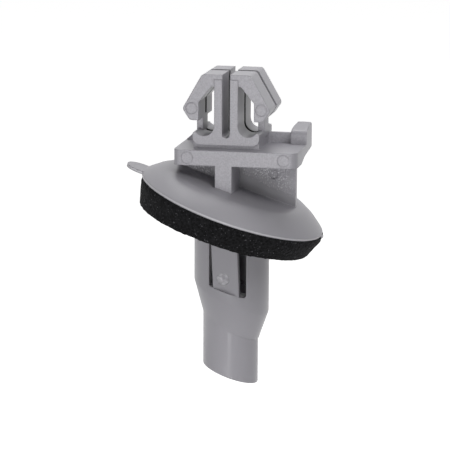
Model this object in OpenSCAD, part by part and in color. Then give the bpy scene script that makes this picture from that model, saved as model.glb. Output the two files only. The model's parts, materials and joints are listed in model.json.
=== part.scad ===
// Molding clip: a push-in clip with an arrow head, a leaning sealing flange and a hollow shank.
// The origin is on the shank axis, where the underside of the foam ring crosses it. +Z is up.

/* [Flange] */
// Angle between the flange and a plane square to the shank, degrees
lean = 18.6; // [0:0.1:30]
// Radius of the flange rim
flange_r = 12.5; // [8:0.1:20]
// Radius of the flat crown of the flange
crown_r = 8.3; // [5:0.1:12]
// Height of the crown above the rim plane
crown_h = 2.6; // [1:0.1:5]
// Thickness of the crown
flange_wall = 1.1; // [0.6:0.1:2]
// How far the shoulder of the skirt lies outside the crown
skirt_step = 1.2; // [0.2:0.05:2]
// Drop from the crown to the shoulder of the skirt
skirt_drop = 0.2; // [0.05:0.01:1]
// How far the bend of the skirt lies inside the rim
bend_in = 1.6; // [1:0.1:3]
// Height of the bend of the skirt above the rim plane
bend_h = 1.62; // [0.8:0.01:2]
// Thickness of the rim edge
rim_t = 0.3; // [0.2:0.05:1]
// Width of the flat ring under the rim
rim_land = 0.5; // [0.2:0.05:1]
// Radius of the rounded pull tab
tab_r = 2.1; // [1:0.1:6]
// How far the pull tab sticks out past the rim
tab_out = 2.35; // [1:0.05:5]
// How far the pull tab is turned round the flange towards the front, degrees
tab_turn = 2.5; // [-20:0.5:20]
// Thickness of the pull tab
tab_t = 0.4; // [0.2:0.05:1]

/* [Seal] */
// Thickness of the foam ring below the centre of the rim plane
seal_t = 3.2; // [1:0.1:6]
// Angle between the underside of the foam ring and a plane square to the shank, degrees
face_lean = 17.3; // [0:0.1:30]
// How far the edge of the foam ring stays inside the rim
seal_inset = 0.1; // [0:0.05:1]
// How much the foam ring narrows towards its underside
seal_taper = 0.85; // [0:0.05:3]
// Clearance between the shank and the hole in the foam ring
seal_gap = 2.55; // [2:0.05:4]

/* [Shank] */
// Radius of the upper shank, which sits in the panel hole
shank_r = 4.95; // [3:0.05:8]
// Radius of the lower shank
nose_r = 3.66; // [2:0.02:6]
// How far the lower shank lies to the left of the axis
nose_shift = 0.1; // [0:0.05:0.5]
// Radius of the blind bore
bore_r = 2.7; // [1:0.05:4]
// Height of the blind end of the bore, from the rim plane
bore_top = -0.8; // [-4:0.1:0]
// Angle of the slanting shoulder, degrees
shoulder_lean = 24; // [0:0.5:40]
// Height of the top of the shoulder on the axis, from the rim plane
shoulder_top = -12.15; // [-16:0.05:-8]
// Height of the foot of the shoulder on the axis, from the rim plane
shoulder_low = -16.4; // [-20:0.05:-12]
// Angle of the slanting end, degrees
end_lean = 19.5; // [0:0.5:40]
// Height of the end on the axis, from the rim plane
end_z = -22.7; // [-30:0.1:-18]

/* [Spring tongues] */
// Left edge of a tongue
tongue_left = -1.57; // [-3:0.01:-1]
// Right edge of a tongue
tongue_right = 1.9; // [1:0.05:3]
// Left edge of the window that a tongue stands in
window_left = -2.15; // [-4:0.05:-1.5]
// Right edge of the window
window_right = 2.72; // [1.5:0.02:4]
// Radius of the window corners
window_round = 0.35; // [0.1:0.05:1]
// Height of the top of the window, from the rim plane
window_top = -3.6; // [-8:0.1:-2]
// Height of the foot of the window on the axis, from the rim plane
window_low = -10.95; // [-14:0.05:-8]
// Gap between the window top and the free end of a tongue
tongue_gap = 0.6; // [0.3:0.05:2]
// How far the free end of a tongue stands out of the shank
tongue_flare = 1.3; // [0.5:0.05:2.5]
// Thickness of a tongue
tongue_t = 1.2; // [0.6:0.05:2]

/* [Stem] */
// Width of the rib that runs front to back
rib_w = 2.2; // [1:0.1:4]
// Thickness of the web that runs left to right
web_t = 1.2; // [0.6:0.1:2.5]
// Left end of the web
web_left = -7; // [-9:0.1:-4]
// Right end of the web
web_right = 8.55; // [5:0.05:10]

/* [Platform] */
// Left end of the platform
plat_left = -6.7; // [-9:0.1:-4]
// Right end of the platform
plat_right = 9.6; // [6:0.1:12]
// Front edge of the platform
plat_front = -6.2; // [-9:0.1:-4]
// Back edge of the platform
plat_back = 6.2; // [4:0.1:9]
// Height of the underside of the front bar, from the rim plane
bar_low = 5.95; // [4:0.05:8]
// Height of the platform top, from the rim plane
plat_top = 7.95; // [6:0.05:10]
// Depth of the thick front bar
bar_d = 3.9; // [2:0.1:6]
// Thickness of the platform at its back edge
plat_t = 0.8; // [0.6:0.05:2]
// Radius of the front corners of the platform
plat_corner = 1.2; // [0.3:0.1:2]
// Radius of the back corners of the platform
back_corner = 0.5; // [0.2:0.1:2]
// Front face of the rear wall
wall_front = 2.4; // [0:0.1:5]
// Thickness of the rear wall
wall_t = 0.9; // [0.5:0.05:2]
// Height of the rear wall above the platform
wall_h = 1.35; // [0.5:0.05:3]
// Left face of the raised end block
block_left = 7.5; // [5:0.1:9]
// Front face of the raised end block
block_front = 1.4; // [-1:0.1:4]
// Height of the end block above the platform at its front
block_h = 1.75; // [0.5:0.05:4]
// Rise of the end block from front to back
block_rise = 0.9; // [0:0.05:2]
// Radius of the front top edge of the end block
block_round = 0.9; // [0.2:0.1:1.5]
// Width of the slope on the left of the top of the end block
block_bevel = 0.9; // [0.1:0.05:1.2]

/* [Head] */
// Half of the depth of the arms and wings
head_half = 4.45; // [3:0.05:6]
// How far the legs and the base stand out from the arms
leg_proud = 0.15; // [0.05:0.05:0.5]
// Height where the legs fall back to the arms, from the rim plane
leg_top = 17; // [15:0.1:17.5]
// Front face of the slit between the two plates
slit_front = -0.1; // [-1:0.05:0.5]
// Width of the slit between the two plates
slit_w = 0.95; // [0.5:0.05:2]
// Lowest point of the slit, from the rim plane
slit_low = 9; // [8.5:0.1:10]
// Width of the slot between the two legs
leg_gap = 1.03; // [0.5:0.01:2]
// Width of a leg
leg_w = 1.05; // [0.6:0.01:2]
// Height of the round bottom of the leg slot, from the rim plane
leg_slot_low = 9.4; // [8.5:0.1:11]
// Height of the flat top of the head, from the rim plane
head_top = 17.65; // [14:0.1:20]
// Half of the width of the flat top
top_half = 3.2; // [2:0.05:4]
// Half of the width across the wing tips
wing_half = 5.8; // [4:0.05:8]
// Radius of the wing corners
wing_round = 0.6; // [0.2:0.05:1]
// Height of the wing tips, from the rim plane
wing_tip_z = 13.1; // [11:0.1:15]
// Height of the underside of the wings, from the rim plane
wing_low = 11.6; // [10:0.1:13]
// Inner face of the wings
wing_in = 3.65; // [2.5:0.05:5]
// Half of the width of the base
base_half = 4.4; // [3:0.05:6]
// Height of the turned-up ends of the base, from the rim plane
lip_z = 10.15; // [9:0.05:11.5]
// Height of the trough between the legs and the turned-up ends, from the rim plane
trough_z = 9.6; // [9:0.05:10.5]
// Height of the underside of the base, from the rim plane
base_low = 8.4; // [8:0.05:9]
// Radius of the lower corners of the base
base_round = 0.9; // [0.2:0.1:1.5]
// How far the plinth behind the base is set back from its front
plinth_back = 0.45; // [0.1:0.05:1]
// Front face of the posts under the wings
post_front = -1.3; // [-3:0.1:0]
// Back face of the posts under the wings
post_back = 1.6; // [0.5:0.1:3]

/* [Marks] */
// Depth of the round moulding marks
mark_depth = 0.12; // [0.05:0.01:0.3]

/* [Hidden] */
$fn = 64;
body_grey = [0.53, 0.54, 0.56];
foam_black = [0.03, 0.03, 0.035];
// Height of the centre of the rim plane above the origin
rim_z = seal_t / cos(lean);
// Height of the crown underside above the rim plane
dish_h = crown_h - flange_wall;
// Radius where the crown underside meets the slope of the skirt
dish_r = crown_r - 0.5;
rim_in_r = flange_r - rim_land;
// How much the radius of the shoulder grows with each millimetre of height
shoulder_grow = (shank_r - nose_r) / (shoulder_top - shoulder_low);
seal_r = flange_r - seal_inset;
seal_low_r = seal_r - seal_taper;
seal_hole_r = shank_r + seal_gap;
// Depth of the foam profile before its underside is cut
seal_deep = seal_t + 0.5;
// Slope of the face of a tongue
tongue_angle = atan((tongue_flare + 0.25) / (window_top - tongue_gap - window_low));
leg_out = leg_gap / 2 + leg_w;
block_top = plat_top + block_h + block_rise;
reach = 30;
overlap = 0.5;

// Tilts children from the shank frame into the flange frame
module on_flange()
    rotate([0, lean, 0])
        children();

// Slides children down towards +X by a slope, so that upright faces stay upright
module sheared(angle)
    multmatrix([[1, 0, 0, 0], [0, 1, 0, 0], [-tan(angle), 0, 1, 0], [0, 0, 0, 1]])
        children();

// Extrudes a front profile (x, z) between two depths
module front_profile(y0, y1)
    translate([0, y1, 0])
        rotate([90, 0, 0])
            linear_extrude(height = y1 - y0)
                children();

// Extrudes a side profile (y, z) between two widths
module side_profile(x0, x1)
    translate([x0, 0, 0])
        rotate([90, 0, 90])
            linear_extrude(height = x1 - x0)
                children();

// Rounds the outer corners of a profile
module soften(r)
    offset(r = r, $fn = 24)
        offset(delta = -r)
            children();

// Rounds the inner corners of a profile
module fillet(r)
    offset(r = -r, $fn = 24)
        offset(delta = r)
            children();

// Everything above a plane of the flange frame at height h
module above_flange(h)
    on_flange()
        translate([-reach, -reach, h])
            cube([2 * reach, 2 * reach, 2 * reach]);

// Everything below a plane of the flange frame at height h
module below_flange(h)
    on_flange()
        translate([-reach, -reach, h - 2 * reach])
            cube([2 * reach, 2 * reach, 2 * reach]);

// Everything above a plane that slopes down towards +X and crosses the axis at height z
module above_slant(angle, z)
    translate([0, 0, z])
        rotate([0, angle, 0])
            translate([-reach, -reach, 0])
                cube([2 * reach, 2 * reach, 2 * reach]);

// Dished flange with a flat crown and a rounded skirt
module flange()
    on_flange()
        rotate_extrude()
            polygon([
                [0, dish_h], [dish_r, dish_h], [rim_in_r, 0], [flange_r, 0],
                [flange_r, rim_t], [flange_r - rim_t, 2 * rim_t], [flange_r - bend_in, bend_h],
                [crown_r + skirt_step, crown_h - skirt_drop], [crown_r, crown_h], [0, crown_h]
            ]);

// Thin rounded tab on the high side of the rim
module pull_tab()
    on_flange()
        difference() {
            rotate([0, 0, tab_turn])
                translate([-flange_r - tab_out + tab_r, 0, 0])
                    cylinder(r = tab_r, h = tab_t);
            translate([0, 0, -1])
                cylinder(r = flange_r - rim_t, h = tab_t + 2);
        }

// Small nib left by the mould on the low side of the rim
module rim_nib()
    on_flange()
        translate([flange_r - 0.3, -0.35, 0])
            cube([0.6, 0.7, rim_t - 0.05]);

// Shank without its bore: round wall, slanting shoulder and nose with a slanting end
module shank_solid() {
    intersection() {
        translate([0, 0, -reach])
            cylinder(r = shank_r, h = 2 * reach);
        below_flange(crown_h - flange_wall / 2);
        sheared(shoulder_lean)
            translate([0, 0, shoulder_low])
                cylinder(r1 = nose_r, r2 = nose_r + reach * shoulder_grow, h = reach);
    }
    intersection() {
        translate([-nose_shift, 0, -reach])
            cylinder(r = nose_r, h = reach + shoulder_top);
        above_slant(end_lean, end_z);
    }
}

// Window in the front wall of the shank, with a slanting foot
module tongue_window()
    front_profile(-shank_r - 2, -bore_r / 2)
        soften(window_round)
            polygon([
                [window_left, window_top], [window_right, window_top],
                [window_right, window_low - window_right * tan(lean)],
                [window_left, window_low - window_left * tan(lean)]
            ]);

// Distance from the origin to a plane that leans with the flange and crosses the axis at height z
function square_to(z) = z * cos(lean);

// Flat-faced tongue that leans out of the front window
module tongue()
    intersection() {
        on_flange()
            side_profile(-reach, reach)
                polygon([
                    [-shank_r + 0.25, square_to(window_low + 0.05)],
                    [-shank_r - tongue_flare, square_to(window_top - tongue_gap)],
                    [-shank_r - tongue_flare + tongue_t * 0.8, square_to(window_top - tongue_gap)],
                    [-shank_r + 0.25 + tongue_t, square_to(window_low - overlap)],
                    [-shank_r + 0.75, square_to(window_low - overlap)]
                ]);
        translate([tongue_left, -reach, -reach])
            cube([tongue_right - tongue_left, 2 * reach, reach + window_top - tongue_gap]);
    }

// Hollow shank with a tongue at the front and one at the back
module shank() {
    difference() {
        shank_solid();
        translate([0, 0, -reach])
            cylinder(r = bore_r, h = reach + bore_top);
        tongue_window();
        mirror([0, 1, 0])
            tongue_window();
    }
    tongue();
    mirror([0, 1, 0])
        tongue();
}

// Rib and web that carry the platform over the crown
module stem()
    intersection() {
        union() {
            translate([-rib_w / 2, plat_front, -reach / 4])
                cube([rib_w, plat_back - plat_front, reach / 4 + bar_low + plat_t]);
            translate([web_left, -web_t / 2, -reach / 4])
                cube([web_right - web_left, web_t, reach / 4 + bar_low + plat_t]);
        }
        above_flange(crown_h - overlap);
    }

// Tall column with the rounded outline that the platform has from above
module plan_column()
    linear_extrude(height = reach)
        union() {
            soften(plat_corner)
                translate([plat_left, plat_front])
                    square([plat_right - plat_left, plat_back - plat_front]);
            soften(back_corner)
                translate([plat_left, 0])
                    square([plat_right - plat_left, plat_back]);
        }

// Platform with a thick front bar
module platform()
    intersection() {
        side_profile(plat_left, plat_right)
            polygon([
                [plat_front, bar_low], [plat_front + bar_d, bar_low], [plat_front + bar_d + 2.7, bar_low + 0.7],
                [plat_back, plat_top - plat_t], [plat_back, plat_top], [plat_front, plat_top]
            ]);
        plan_column();
    }

// Low wall across the back of the platform, with a sloping left end
module rear_wall()
    front_profile(wall_front, wall_front + wall_t)
        polygon([
            [plat_left + 0.1, plat_top - overlap], [block_left + overlap, plat_top - overlap],
            [block_left + overlap, plat_top + wall_h], [plat_left + 1.5, plat_top + wall_h],
            [plat_left + 0.1, plat_top + 0.1]
        ]);

// Raised block on the right end of the platform
module end_block()
    intersection() {
        side_profile(block_left, plat_right)
            soften(block_round)
                polygon([
                    [block_front, plat_top - plat_t], [plat_back, plat_top - plat_t],
                    [plat_back, block_top], [block_front, plat_top + block_h]
                ]);
        front_profile(plat_front, plat_back)
            soften(0.8 * block_round)
                polygon([
                    [block_left, bar_low - 1], [plat_right, bar_low - 1], [plat_right, block_top],
                    [block_left + block_bevel, block_top], [block_left, block_top - block_bevel / 3]
                ]);
        plan_column();
    }

// Children together with their mirror image across the middle of the head
module both_sides() {
    children();
    mirror([1, 0, 0])
        children();
}

// One half of the front outline of the arms and wings
module wing_outline()
    difference() {
        soften(wing_round)
            polygon([
                [-1, trough_z - 1], [-1, head_top], [top_half, head_top], [wing_half, wing_tip_z],
                [wing_half - 1, wing_low], [wing_in, wing_low], [wing_in, trough_z - 1]
            ]);
        fillet(0.2)
            polygon([
                [leg_out, trough_z - 2], [leg_out, head_top - 1.5], [leg_out + 0.4, head_top - 1.6],
                [wing_in, wing_low + 2.4], [wing_in, wing_low - 0.2], [wing_in + 2, wing_low - 0.2],
                [wing_in + 2, trough_z - 2]
            ]);
    }

// One half of the front outline of a leg and of the base with its turned-up end
module leg_outline() {
    translate([0, trough_z])
        square([leg_out, leg_top - trough_z]);
    difference() {
        intersection() {
            soften(0.3)
                polygon([
                    [-1, base_low - 1], [base_half, base_low - 1], [base_half, lip_z],
                    [base_half - 0.5, lip_z], [base_half - 1.3, trough_z], [leg_out + 1.1, trough_z],
                    [leg_out, trough_z + 1.3], [-1, trough_z + 1.3]
                ]);
            soften(base_round)
                translate([-base_half, base_low])
                    square([2 * base_half, 2 * base_half]);
        }
        translate([leg_out + 1.35, trough_z + 1.35])
            circle(r = 1.35);
    }
}

// Plinth that carries the base and shows behind its round lower corners
module plinth()
    translate([-base_half + 0.05, -head_half - leg_proud + plinth_back, plat_top - overlap])
        cube([
            2 * base_half - 0.1, 2 * (head_half + leg_proud - plinth_back),
            base_low + base_round - plat_top + overlap
        ]);

// Slot between the legs and slit between the two plates of the head
module head_cuts() {
    translate([-reach, slit_front, slit_low])
        cube([2 * reach, slit_w, reach]);
    front_profile(-head_half - 1, head_half + 1)
        union() {
            translate([0, leg_slot_low + leg_gap / 2])
                circle(r = leg_gap / 2);
            translate([-leg_gap / 2, leg_slot_low + leg_gap / 2])
                square([leg_gap, reach]);
        }
}

// Legs, arms, wings and base of the head
module head() {
    difference() {
        union() {
            front_profile(-head_half, head_half)
                both_sides()
                    wing_outline();
            front_profile(-head_half - leg_proud, head_half + leg_proud)
                both_sides()
                    leg_outline();
            plinth();
        }
        head_cuts();
        both_sides()
            wing_mark();
    }
    both_sides()
        post();
}

// Round mark on the front of a wing tip
module wing_mark()
    translate([wing_half - 1.2, -head_half + mark_depth, wing_tip_z + 0.05])
        rotate([90, 0, 0])
            cylinder(r = 0.76, h = 2);

// Short post between the base and a wing
module post()
    translate([wing_in, post_front, trough_z - 0.4])
        cube([0.85, post_back - post_front, wing_low - trough_z + 0.7]);

// Round mark low on the face of the front tongue
module tongue_mark()
    translate([-0.2, -shank_r + 0.25 - 1.75 * tan(tongue_angle), window_low + 1.75])
        rotate([90 + tongue_angle, 0, 0])
            translate([0, 0, -mark_depth])
                cylinder(r = 0.85, h = 2);

// Round marks on the front bar and on the web
module bar_marks() {
    translate([plat_left + 1.9, plat_front + mark_depth, (bar_low + plat_top) / 2])
        rotate([90, 0, 0])
            cylinder(r = 0.78, h = 2);
    translate([plat_right - 1.75, plat_front + mark_depth, (bar_low + plat_top) / 2])
        rotate([90, 0, 0])
            cylinder(r = 0.78, h = 2);
    translate([web_right - 2.9, -web_t / 2 + mark_depth, bar_low - 1.75])
        rotate([90, 0, 0])
            cylinder(r = 0.57, h = 1);
}

// Grey moulding
module clip_body()
    color(body_grey)
        translate([0, 0, rim_z])
            difference() {
                union() {
                    flange();
                    pull_tab();
                    rim_nib();
                    shank();
                    stem();
                    platform();
                    rear_wall();
                    end_block();
                    head();
                }
                bar_marks();
                tongue_mark();
            }

// Foam ring that fills the underside of the flange, cut flat below
module foam_seal()
    color(foam_black)
        intersection() {
            translate([0, 0, rim_z])
                on_flange()
                    rotate_extrude()
                        polygon([
                            [seal_hole_r, dish_h], [dish_r, dish_h], [rim_in_r, 0], [seal_r, 0],
                            [seal_r, -seal_t / 4], [seal_low_r, -seal_deep], [seal_hole_r, -seal_deep]
                        ]);
            above_slant(face_lean, 0);
        }

clip_body();
foam_seal();
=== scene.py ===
import json
import math

import bpy
from mathutils import Matrix, Vector

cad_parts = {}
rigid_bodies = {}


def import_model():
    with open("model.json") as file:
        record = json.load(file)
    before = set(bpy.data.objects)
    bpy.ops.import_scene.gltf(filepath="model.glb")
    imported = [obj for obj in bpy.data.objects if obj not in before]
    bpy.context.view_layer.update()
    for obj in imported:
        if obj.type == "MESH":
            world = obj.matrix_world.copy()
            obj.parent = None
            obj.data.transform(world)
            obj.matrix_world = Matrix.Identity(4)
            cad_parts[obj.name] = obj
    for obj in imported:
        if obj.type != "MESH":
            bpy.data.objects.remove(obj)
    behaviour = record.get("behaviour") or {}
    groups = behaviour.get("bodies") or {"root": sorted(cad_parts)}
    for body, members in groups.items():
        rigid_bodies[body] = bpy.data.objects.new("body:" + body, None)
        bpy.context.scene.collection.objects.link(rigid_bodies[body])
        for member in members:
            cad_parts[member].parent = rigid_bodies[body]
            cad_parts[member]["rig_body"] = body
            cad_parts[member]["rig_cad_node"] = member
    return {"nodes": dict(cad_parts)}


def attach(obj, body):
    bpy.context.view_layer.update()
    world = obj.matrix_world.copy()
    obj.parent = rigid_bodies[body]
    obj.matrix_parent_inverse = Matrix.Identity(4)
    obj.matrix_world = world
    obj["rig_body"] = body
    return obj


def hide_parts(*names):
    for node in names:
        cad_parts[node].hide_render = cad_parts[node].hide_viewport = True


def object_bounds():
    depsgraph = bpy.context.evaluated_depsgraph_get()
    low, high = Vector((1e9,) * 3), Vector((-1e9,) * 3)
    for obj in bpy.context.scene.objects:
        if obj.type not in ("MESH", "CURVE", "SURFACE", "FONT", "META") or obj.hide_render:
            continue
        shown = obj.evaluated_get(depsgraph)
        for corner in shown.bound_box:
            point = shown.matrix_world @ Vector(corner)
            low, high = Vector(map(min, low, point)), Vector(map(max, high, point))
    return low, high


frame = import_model()
cad_lo, cad_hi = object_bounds()

MM = 0.001

# Sizes repeated from the part's source, in millimetres, and its two angles
LEAN = math.radians(18.6)
FACE_LEAN = math.radians(17.3)
SEAL_T = 3.2
SEAL_DEEP = SEAL_T + 0.5
SEAL_HOLE_R = 7.5
DISH_H = 1.5
DISH_R = 7.8
RIM_IN_R = 12.0
RIM_Z = SEAL_T / math.cos(LEAN)
BAR_LOW = RIM_Z + 5.95
SLIT_FRONT = -0.1
SLIT_W = 0.95
SLIT_LOW = RIM_Z + 9

# The foam ring as the photograph shows it: off centre, in millimetres, with its skew as a ratio
SEAL_R = 12.48
SEAL_LOW_R = 11.5
SEAL_SHIFT = 0.2
SEAL_SKEW = 0.09
SEAL_PROUD = 0.1

# Mesh and rough surface of the foam ring: its cuts, and its grain in millimetres
RING_STEPS = 240
RING_CUTS = 6
FOOT_CUTS = 5
ROUGH_SIZE = 0.35
ROUGH_DEPTH = 0.16
ROUGH_MID = 0.62

# Zones of the moulding that differ in finish or carry painted light and shade, in millimetres
CROWN_TOP = 2.7
WEB_HALF = 0.75
SLIT_MID = SLIT_FRONT + SLIT_W / 2
SLIT_HALF = SLIT_W / 2 + 0.015
RIM_BAND = (0.08, 0.32)
TONGUE_MARK = (-0.2, RIM_Z - 9.2)
TONGUE_MARK_Y = -4
EDGE_R = 0.22

# Where a zone starts to show and where it shows in full, in millimetres
NOSE_FADE = (-8, -13)
GLINT_RISE = (BAR_LOW - 1.2, BAR_LOW + 0.6)
GLINT_FADE = (4.1, 2.6)
SHADE_RISE = (BAR_LOW + 0.9, BAR_LOW - 1.0)
SLIT_WING_FADE = (RIM_Z + 24.0, RIM_Z + 21.8)
SLIT_TOP_FADE = (RIM_Z + 18.0, RIM_Z + 16.8)
TONGUE_MARK_FADE = (1.0, 0.7)

# Slant of the web's zones, slant of the wings, and strength of the web's painted shade
WEB_SLOPE = 0.47
WING_SLOPE = 2
SHADE_SHARE = 0.65

# Colours of the grey plastic, some of them painted light and shade, and of the foam
CLOUD_DIM = (0.348, 0.340, 0.371)
CLOUD_PALE = (0.382, 0.372, 0.405)
FRONT_LIT_GREY = (0.415, 0.405, 0.438)
FRONT_PALE = (0.475, 0.465, 0.50)
FRONT_DIM = (0.362, 0.352, 0.383)
SMOOTH_GREY = (0.318, 0.310, 0.337)
NOSE_LIT_GREY = (0.368, 0.358, 0.390)
WEB_SHADE = (0.12, 0.117, 0.128)
GLINT = (0.92, 0.91, 0.94)
SLIT_SHADE = (0.03, 0.029, 0.032)
TONGUE_PATCH_PALE = (0.62, 0.61, 0.64)
RIM_HIGHLIGHT = (0.55, 0.54, 0.57)
FOAM_BLACK = (0.001, 0.001, 0.0012)
FOAM_GREY = (0.0135, 0.0135, 0.0148)
FOAM_DUST = (0.13, 0.13, 0.14)

# From the frame of the flange to the row frame
FLANGE = Matrix.Translation((0, 0, RIM_Z * MM)) @ Matrix.Rotation(LEAN, 4, "Y")


def deselect():
    for obj in bpy.context.view_layer.objects:
        obj.select_set(False)


def activate(obj):
    deselect()
    obj.select_set(True)
    bpy.context.view_layer.objects.active = obj


def edit(obj, mode="VERT"):
    """Opens a mesh in edit mode with all of it selected."""
    activate(obj)
    bpy.ops.object.mode_set(mode="EDIT")
    bpy.ops.mesh.select_mode(type=mode)
    bpy.ops.mesh.select_all(action="SELECT")


def leave_edit():
    bpy.ops.object.mode_set(mode="OBJECT")


# Helpers for the materials


def new_material(name):
    mat = bpy.data.materials.new(name)
    mat.use_nodes = True
    tree = mat.node_tree
    shader = tree.nodes["Principled BSDF"]
    coords = tree.nodes.new("ShaderNodeTexCoord")
    return mat, tree, shader, coords


def noise(tree, coords, scale, detail):
    node = tree.nodes.new("ShaderNodeTexNoise")
    node.inputs["Scale"].default_value = scale
    node.inputs["Detail"].default_value = detail
    tree.links.new(coords.outputs["Object"], node.inputs["Vector"])
    return node.outputs["Fac"]


def ramp(tree, source, stops):
    node = tree.nodes.new("ShaderNodeValToRGB")
    for element, (place, colour) in zip(node.color_ramp.elements, stops):
        element.position = place
        element.color = (*colour, 1)
    tree.links.new(source, node.inputs["Fac"])
    return node.outputs["Color"]


def bump(tree, height, strength, distance, normal=None):
    node = tree.nodes.new("ShaderNodeBump")
    node.inputs["Strength"].default_value = strength
    node.inputs["Distance"].default_value = distance
    tree.links.new(height, node.inputs["Height"])
    if normal is not None:
        tree.links.new(normal, node.inputs["Normal"])
    return node.outputs["Normal"]


def maths(tree, operation, first, second=0, clamp=False):
    node = tree.nodes.new("ShaderNodeMath")
    node.operation = operation
    node.use_clamp = clamp
    for socket, value in zip(node.inputs, (first, second)):
        if isinstance(value, (int, float)):
            socket.default_value = value
        else:
            tree.links.new(value, socket)
    return node.outputs[0]


def product(tree, first, *others):
    """Multiplies sockets and numbers together."""
    for other in others:
        first = maths(tree, "MULTIPLY", first, other)
    return first


def absolute(tree, value):
    return maths(tree, "ABSOLUTE", value)


def rising(tree, value, none, full):
    """0 up to none, 1 from full on and a straight ramp between; full may be the lower one."""
    node = tree.nodes.new("ShaderNodeMapRange")
    node.inputs["From Min"].default_value = none
    node.inputs["From Max"].default_value = full
    tree.links.new(value, node.inputs["Value"])
    return node.outputs[0]


def rising_mm(tree, value, pair):
    """The same ramp between two places in millimetres."""
    return rising(tree, value, pair[0] * MM, pair[1] * MM)


def blend(tree, factor, colour, other):
    """Mixes a colour socket towards another colour by the factor socket."""
    node = tree.nodes.new("ShaderNodeMixRGB")
    tree.links.new(factor, node.inputs["Fac"])
    tree.links.new(colour, node.inputs["Color1"])
    node.inputs["Color2"].default_value = (*other, 1)
    return node.outputs["Color"]


def height_over_rim(tree, coords):
    """Distance of a point from the rim plane, along the leaning axis of the flange."""
    tilted = tree.nodes.new("ShaderNodeVectorMath")
    tilted.operation = "DOT_PRODUCT"
    tree.links.new(coords.outputs["Object"], tilted.inputs[0])
    tilted.inputs[1].default_value = (math.sin(LEAN), 0, math.cos(LEAN))
    return maths(tree, "SUBTRACT", tilted.outputs["Value"], RIM_Z * math.cos(LEAN) * MM)


# Painted shade in the slit, a pale patch on the tongue and a painted highlight on the rim, each a
# mask that is 1 inside it


def slit_shade(tree, x, y, z, facing_y):
    """Painted shade on the faces of the slit between the two plates, fading out near its open
    edges.
    """
    off_middle = absolute(tree, maths(tree, "SUBTRACT", y, SLIT_MID * MM))
    between = maths(tree, "LESS_THAN", off_middle, SLIT_HALF * MM)
    over = maths(tree, "GREATER_THAN", z, SLIT_LOW * MM)
    flat = maths(tree, "GREATER_THAN", absolute(tree, facing_y), 0.9)
    slope = maths(tree, "ADD", z, product(tree, absolute(tree, x), WING_SLOPE))
    in_wings = rising_mm(tree, slope, SLIT_WING_FADE)
    under_top = rising_mm(tree, z, SLIT_TOP_FADE)
    return product(tree, between, over, flat, in_wings, under_top)


def tongue_pale_patch(tree, coords, x, y, z):
    """A round pale patch on the front tongue."""
    across = maths(tree, "SUBTRACT", x, TONGUE_MARK[0] * MM)
    along = maths(tree, "SUBTRACT", z, TONGUE_MARK[1] * MM)
    squares = maths(tree, "ADD", product(tree, across, across), product(tree, along, along))
    apart = maths(tree, "SQRT", squares)
    inside = rising_mm(tree, apart, TONGUE_MARK_FADE)
    ahead = maths(tree, "LESS_THAN", y, TONGUE_MARK_Y * MM)
    patch = rising(tree, noise(tree, coords, scale=1900, detail=3), 0.4, 0.75)
    return product(tree, patch, inside, ahead)


def rim_highlight(tree, level, facing_z):
    """A painted highlight on the thin upright edge of the flange's rim."""
    low = maths(tree, "LESS_THAN", level, RIM_BAND[1] * MM)
    above = maths(tree, "GREATER_THAN", level, RIM_BAND[0] * MM)
    outward = rising(tree, facing_z, 0.5, 0.3)
    return product(tree, low, above, outward)


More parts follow.
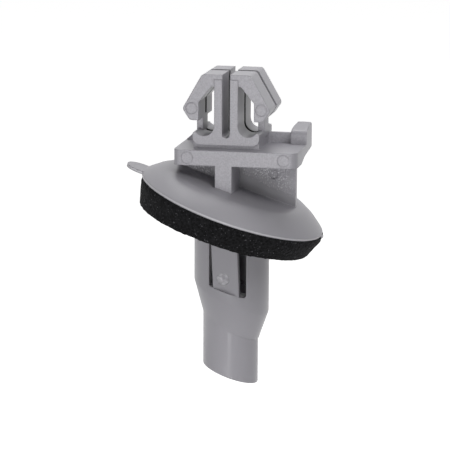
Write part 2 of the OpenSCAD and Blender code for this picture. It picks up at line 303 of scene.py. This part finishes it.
def grey_plastic():
    """Satin grey plastic: grain and painted front light on the forward faces, painted glints and
    painted shade on the web, painted shade in the slit, a painted highlight on the rim's edge, and
    a smooth flange and shank whose nose is painted paler as light.
    """
    mat, tree, shader, coords = new_material("grey_plastic")
    shader.inputs["Specular IOR Level"].default_value = 0.5
    place = tree.nodes.new("ShaderNodeSeparateXYZ")
    tree.links.new(coords.outputs["Object"], place.inputs[0])
    x, y, z = place.outputs
    facing = tree.nodes.new("ShaderNodeSeparateXYZ")
    tree.links.new(coords.outputs["Normal"], facing.inputs[0])

    # The flange and all below it are smooth; the nose of the shank is glossier, and painted paler
    # as painted light where the flange's shade falls off
    level = height_over_rim(tree, coords)
    smooth = maths(tree, "LESS_THAN", level, CROWN_TOP * MM)
    raised = maths(tree, "SUBTRACT", 1, smooth)
    nose = rising_mm(tree, z, NOSE_FADE)
    roughness = maths(tree, "ADD", product(tree, nose, -0.06), 0.38)
    tree.links.new(roughness, shader.inputs["Roughness"])

    # Above the flange, the faces that look forward are mottled with grain and painted paler, as
    # painted light from the front; the web has coarse pits with painted glints and painted shade
    forward = rising(tree, facing.outputs["Y"], -0.85, -0.97)
    on_web = maths(tree, "LESS_THAN", absolute(tree, y), WEB_HALF * MM)
    below_bar = maths(tree, "LESS_THAN", z, BAR_LOW * MM)
    web = product(tree, on_web, below_bar, raised)
    bare = maths(tree, "SUBTRACT", raised, web, clamp=True)
    front = product(tree, forward, bare)
    web_face = product(tree, forward, web)
    mottle = noise(tree, coords, scale=4800, detail=2)
    pale = product(tree, rising(tree, mottle, 0.45, 0.75), front)
    dim = product(tree, rising(tree, mottle, 0.5, 0.25), front)

    # The web has painted glints, a painted highlight, in a slanting band under the bar, and
    # painted shade below that band
    sideways = product(tree, absolute(tree, x), WEB_SLOPE)
    sloped = maths(tree, "ADD", z, sideways)
    near = rising_mm(tree, sloped, GLINT_RISE)
    fade = rising_mm(tree, sideways, GLINT_FADE)
    deep = rising_mm(tree, sloped, SHADE_RISE)
    shaded = product(tree, web_face, deep, SHADE_SHARE)
    spark = noise(tree, coords, scale=6000, detail=1)
    glints = product(tree, rising(tree, spark, 0.55, 0.70), web_face, near, fade)

    clouds = noise(tree, coords, scale=240, detail=3)
    colour = ramp(tree, clouds, [(0.3, CLOUD_DIM), (0.7, CLOUD_PALE)])
    # Painted light among these layers: the paler forward faces and nose, the web's shade and
    # glints, the slit's shade and the rim's highlight
    layers = [
        (front, FRONT_LIT_GREY),
        (smooth, SMOOTH_GREY),
        (nose, NOSE_LIT_GREY),
        (pale, FRONT_PALE),
        (dim, FRONT_DIM),
        (shaded, WEB_SHADE),
        (glints, GLINT),
        (slit_shade(tree, x, y, z, facing.outputs["Y"]), SLIT_SHADE),
        (tongue_pale_patch(tree, coords, x, y, z), TONGUE_PATCH_PALE),
        (rim_highlight(tree, level, facing.outputs["Z"]), RIM_HIGHLIGHT),
    ]
    for mask, other in layers:
        colour = blend(tree, mask, colour, other)
    tree.links.new(colour, shader.inputs["Base Color"])

    # Soft edges, a fine grain on the upper part and coarse pits in the web
    edge = tree.nodes.new("ShaderNodeBevel")
    edge.samples = 6
    edge.inputs["Radius"].default_value = EDGE_R * MM
    grain = product(tree, mottle, bare)
    fine = bump(tree, grain, strength=0.2, distance=0.05 * MM, normal=edge.outputs["Normal"])
    pits = product(tree, spark, web_face, near)
    coarse = bump(tree, pits, strength=0.8, distance=0.12 * MM, normal=fine)
    tree.links.new(coarse, shader.inputs["Normal"])
    return mat


def black_foam():
    """Black open-cell foam: dark cells with scattered pale specks."""
    mat, tree, shader, coords = new_material("black_foam")
    shader.inputs["Roughness"].default_value = 0.9
    shader.inputs["Specular IOR Level"].default_value = 0.12
    cells = tree.nodes.new("ShaderNodeTexVoronoi")
    cells.inputs["Scale"].default_value = 2600
    tree.links.new(coords.outputs["Object"], cells.inputs["Vector"])
    distance = cells.outputs["Distance"]
    tone = ramp(tree, distance, [(0.15, FOAM_BLACK), (0.85, FOAM_GREY)])
    specks = rising(tree, noise(tree, coords, scale=4300, detail=1), 0.65, 0.78)
    colour = blend(tree, specks, tone, FOAM_DUST)
    tree.links.new(colour, shader.inputs["Base Color"])
    pores = bump(tree, distance, strength=0.8, distance=0.15 * MM)
    tree.links.new(pores, shader.inputs["Normal"])
    return mat


def dress(obj, mat):
    obj.data.materials.clear()
    obj.data.materials.append(mat)


# Pieces


def moulding():
    """The grey moulding: the solid's own shape with its doubles merged."""
    activate(frame["nodes"]["clip_body"])
    bpy.ops.object.duplicate()
    obj = bpy.context.view_layer.objects.active
    obj.name = "moulding"

    # The copy is a new piece, so it drops the tags of the solid
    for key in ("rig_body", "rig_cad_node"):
        if key in obj:
            del obj[key]
    obj.parent = None
    edit(obj)
    bpy.ops.mesh.remove_doubles(threshold=0.002 * MM)
    leave_edit()
    activate(obj)
    bpy.ops.mesh.customdata_custom_splitnormals_clear()
    bpy.ops.object.shade_smooth_by_angle(angle=math.radians(32))
    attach(obj, "root")
    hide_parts("clip_body")
    return obj


def lathed_ring():
    """The foam ring on the flange's own axis, open below, with its outline spun round."""
    outline = [
        (SEAL_HOLE_R, -SEAL_DEEP),
        (SEAL_HOLE_R, DISH_H),
        (DISH_R, DISH_H),
        (RIM_IN_R, 0),
        (SEAL_R, 0),
        (SEAL_R, -SEAL_T / 4),
        (SEAL_LOW_R, -SEAL_DEEP),
    ]
    bpy.ops.mesh.primitive_circle_add(vertices=len(outline), radius=MM, fill_type="NOTHING")
    obj = bpy.context.view_layer.objects.active
    obj.name = "foam_ring"
    for vert, (r, z) in zip(obj.data.vertices, outline):
        vert.co = (r * MM, 0, z * MM)
    edit(obj, "EDGE")
    bpy.ops.mesh.select_all(action="DESELECT")
    leave_edit()

    # The foot stays open until the ring is cut flat
    foot = (0.001 - SEAL_DEEP) * MM
    for edge in obj.data.edges:
        edge.select = all(obj.data.vertices[i].co.z < foot for i in edge.vertices)
    bpy.ops.object.mode_set(mode="EDIT")
    bpy.ops.mesh.delete(type="EDGE")
    bpy.ops.mesh.select_all(action="SELECT")
    bpy.ops.mesh.subdivide(number_cuts=RING_CUTS)
    bpy.ops.mesh.spin(steps=RING_STEPS, angle=math.tau, center=(0, 0, 0), axis=(0, 0, 1))
    bpy.ops.mesh.select_all(action="SELECT")
    bpy.ops.mesh.remove_doubles(threshold=0.01 * MM)
    leave_edit()
    return obj


def foam_ring():
    """The foam ring: lathed, leant over, cut flat below and roughened."""
    obj = lathed_ring()
    skew = Matrix.Translation((SEAL_SHIFT * MM, 0, 0))
    skew[0][2] = SEAL_SKEW
    obj.data.transform(FLANGE @ skew)
    edit(obj)
    bpy.ops.mesh.bisect(
        plane_co=(0, 0, -SEAL_PROUD * MM),
        plane_no=(math.sin(FACE_LEAN), 0, math.cos(FACE_LEAN)),
        clear_inner=True,
    )
    bpy.ops.mesh.bridge_edge_loops(number_cuts=FOOT_CUTS, interpolation="LINEAR")
    bpy.ops.mesh.select_all(action="SELECT")
    bpy.ops.mesh.normals_make_consistent(inside=False)
    leave_edit()
    grain = bpy.data.textures.new("foam_grain", "CLOUDS")
    grain.noise_scale = ROUGH_SIZE * MM
    mod = obj.modifiers.new("rough", "DISPLACE")
    mod.texture = grain
    mod.texture_coords = "LOCAL"
    mod.mid_level = ROUGH_MID
    mod.strength = ROUGH_DEPTH * MM
    activate(obj)
    bpy.ops.object.modifier_apply(modifier="rough")
    bpy.ops.object.shade_smooth_by_angle(angle=math.radians(50))
    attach(obj, "root")
    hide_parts("foam_seal")
    return obj


dress(moulding(), grey_plastic())
dress(foam_ring(), black_foam())

# Camera: the direction, distance and width of frame that fit the photograph

AZIMUTH = math.radians(11)
ELEVATION = math.radians(10.5)
ROLL = math.radians(0.3)
DISTANCE = 350 * MM
FRAME_W = 59.3 * MM
SENSOR_W = 36

# Width of the photograph, and how far the rim's centre is right of and above its middle, in pixels
FRAME_PX = 450
RIM_RIGHT_PX = 7.0
RIM_ABOVE_PX = 21.6

rim_centre = Vector((0, 0, RIM_Z * MM))


def add_camera():
    """Aims the camera so that the rim's centre lies where the photograph has it."""
    reach = math.cos(ELEVATION)
    back = Vector((math.sin(AZIMUTH) * reach, -math.cos(AZIMUTH) * reach, math.sin(ELEVATION)))
    right = Vector((math.cos(AZIMUTH), math.sin(AZIMUTH), 0))
    up = back.cross(right)
    px = FRAME_W / FRAME_PX
    aim = rim_centre - right * (RIM_RIGHT_PX * px) - up * (RIM_ABOVE_PX * px)
    bpy.ops.object.camera_add(location=rim_centre + back * DISTANCE)
    camera = bpy.context.view_layer.objects.active
    look = (aim - camera.location).to_track_quat("-Z", "Y").to_matrix().to_4x4()
    turned = look @ Matrix.Rotation(ROLL, 4, "Z")
    camera.matrix_world = Matrix.Translation(camera.location) @ turned
    camera.data.sensor_width = SENSOR_W
    camera.data.lens = SENSOR_W * DISTANCE / FRAME_W
    camera.data.clip_start = 0.01
    camera.data.clip_end = 10
    bpy.context.scene.camera = camera


# Floor, world and lamps

FLOOR_SIZE = 4
FLOOR_DROP = 100 * MM
FLOOR_WHITE = (0.8, 0.8, 0.8, 1)
FLOOR_LIFT = 0.96
WORLD_LIGHT = 0.03


def shown_to_camera(tree):
    """1 for camera, glossy and transmission rays, 0 for the light itself."""
    path = tree.nodes.new("ShaderNodeLightPath")
    shown = path.outputs["Is Camera Ray"]
    for kind in ("Is Glossy Ray", "Is Transmission Ray"):
        shown = maths(tree, "MAXIMUM", shown, path.outputs[kind])
    return shown


def floor_paint():
    """Matt pale paint that the camera sees as nearly white."""
    mat = bpy.data.materials.new("floor")
    mat.use_nodes = True
    tree = mat.node_tree
    paint = tree.nodes["Principled BSDF"]
    paint.inputs["Base Color"].default_value = FLOOR_WHITE
    paint.inputs["Roughness"].default_value = 1
    paint.inputs["Specular IOR Level"].default_value = 0
    glow = tree.nodes.new("ShaderNodeEmission")
    tree.links.new(product(tree, shown_to_camera(tree), FLOOR_LIFT), glow.inputs["Strength"])
    add = tree.nodes.new("ShaderNodeAddShader")
    tree.links.new(paint.outputs[0], add.inputs[0])
    tree.links.new(glow.outputs[0], add.inputs[1])
    tree.links.new(add.outputs[0], tree.nodes["Material Output"].inputs["Surface"])
    return mat


def add_floor():
    bpy.ops.mesh.primitive_plane_add(size=FLOOR_SIZE, location=(0, 0, cad_lo.z - FLOOR_DROP))
    floor = bpy.context.view_layer.objects.active
    floor.name = "floor"
    floor.data.materials.append(floor_paint())


def add_world():
    """A faint even light that the camera sees as white."""
    world = bpy.data.worlds.new("world")
    bpy.context.scene.world = world
    world.use_nodes = True
    tree = world.node_tree
    sky = tree.nodes["Background"]
    sky.inputs["Color"].default_value = (1, 1, 1, 1)
    strength = tree.nodes.new("ShaderNodeMix")
    strength.inputs[2].default_value = WORLD_LIGHT
    strength.inputs[3].default_value = 1
    tree.links.new(shown_to_camera(tree), strength.inputs[0])
    tree.links.new(strength.outputs[0], sky.inputs["Strength"])


def lamp(name, place, size, power):
    """A square soft lamp that faces the part; place is in metres from the rim's centre."""
    bpy.ops.object.light_add(type="AREA", location=rim_centre + Vector(place))
    obj = bpy.context.view_layer.objects.active
    obj.name = name
    obj.data.size = size
    obj.data.energy = power
    obj.rotation_mode = "QUATERNION"
    obj.rotation_quaternion = Vector(place).to_track_quat("Z", "Y")


add_camera()
add_floor()
add_world()
lamp("front", (0, -0.60, -0.05), 0.20, 0.92)
lamp("left", (-0.42, -0.42, 0.12), 0.45, 0.72)
lamp("right", (0.30, -0.30, 0.42), 0.40, 1.35)
lamp("top", (0, 0.25, 0.54), 0.35, 1.8)

bpy.context.scene.view_settings.view_transform = "Standard"
